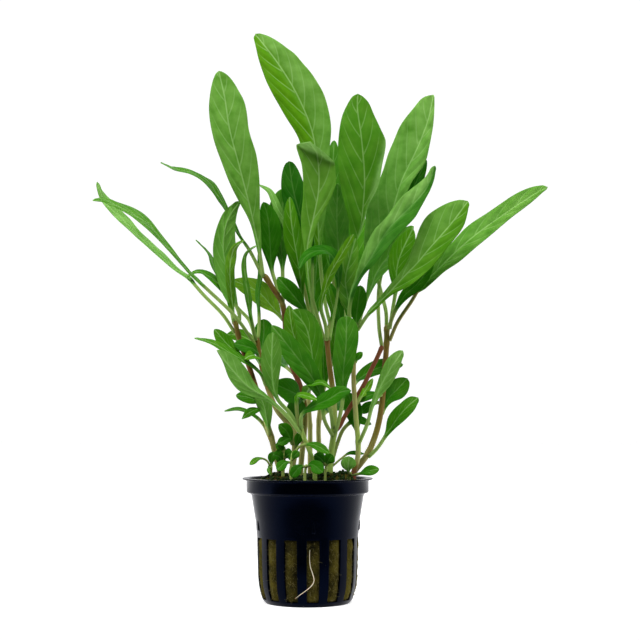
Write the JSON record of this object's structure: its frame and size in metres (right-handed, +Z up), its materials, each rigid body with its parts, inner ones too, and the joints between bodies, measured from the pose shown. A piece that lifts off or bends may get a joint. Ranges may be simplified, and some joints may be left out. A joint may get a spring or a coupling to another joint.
{
  "type": "potted hygrophila",
  "caption": "Bushy stem plant with long lance-shaped green leaves, growing from rockwool in a round black slotted net pot.",
  "frame": {"origin": "centre of the pot's flat underside, on the surface it stands on", "axes": "+Z up along the pot's axis; -Y is the front that the picture shows, +X is to its right"},
  "size_m": [0.1942, 0.0784, 0.2445],
  "materials": {
    "pot_plastic": "blue-black injection-moulded plastic, satin",
    "rockwool": "damp olive-brown mineral fibre, matte",
    "stem_skin": "olive to red-brown plant stem, satin",
    "leaf_green": "wet green leaf, glossy"
  },
  "bodies": {
    "root": {"leaf_arching_center": "leaf_green", "leaf_arching_left": "leaf_green", "leaf_back_right": "leaf_green", "leaf_back_rounded": "leaf_green", "leaf_bright_slim": "leaf_green", "leaf_center_front": "leaf_green", "leaf_crown_left": "leaf_green", "leaf_crown_right": "leaf_green", "leaf_crown_top": "leaf_green", "leaf_dark_behind": "leaf_green", "leaf_dark_center": "leaf_green", "leaf_dark_left_center": "leaf_green", "leaf_dark_red_rib": "leaf_green", "leaf_dark_round_low": "leaf_green", "leaf_far_left_green": "leaf_green", "leaf_far_left_pale": "leaf_green", "leaf_front_big": "leaf_green", "leaf_front_broad": "leaf_green", "leaf_front_dark_wide": "leaf_green", "leaf_front_left_long": "leaf_green", "leaf_front_pale": "leaf_green", "leaf_left_bright_back": "leaf_green", "leaf_left_broad": "leaf_green", "leaf_left_edge_on": "leaf_green", "leaf_left_hooked": "leaf_green", "leaf_left_long_arch": "leaf_green", "leaf_left_slim": "leaf_green", "leaf_left_speckled": "leaf_green", "leaf_light_center": "leaf_green", "leaf_mid_green": "leaf_green", "leaf_right_broad": "leaf_green", "leaf_right_dark_behind": "leaf_green", "leaf_right_dark_round": "leaf_green", "leaf_right_folded": "leaf_green", "leaf_right_long": "leaf_green", "leaf_right_pale": "leaf_green", "leaf_right_spoon": "leaf_green", "leaf_right_top": "leaf_green", "leaf_right_top_behind": "leaf_green", "leaf_right_underside": "leaf_green", "leaf_slim_curled_tip": "leaf_green", "leaf_slim_inner": "leaf_green", "pot": "pot_plastic", "rockwool": "rockwool", "sprout_dark": "stem_skin", "sprout_front_center": "stem_skin", "sprout_front_left": "stem_skin", "sprout_left": "stem_skin", "sprout_right": "stem_skin", "sprout_round": "stem_skin", "stem_behind_left": "stem_skin", "stem_behind_right": "stem_skin", "stem_center": "stem_skin", "stem_left": "stem_skin", "stem_left_behind": "stem_skin", "stem_olive_right": "stem_skin", "stem_pale_right": "stem_skin", "stem_red_brown": "stem_skin", "stem_red_side_shoot": "stem_skin", "stem_short_front": "stem_skin"}
  },
  "joints": []
}
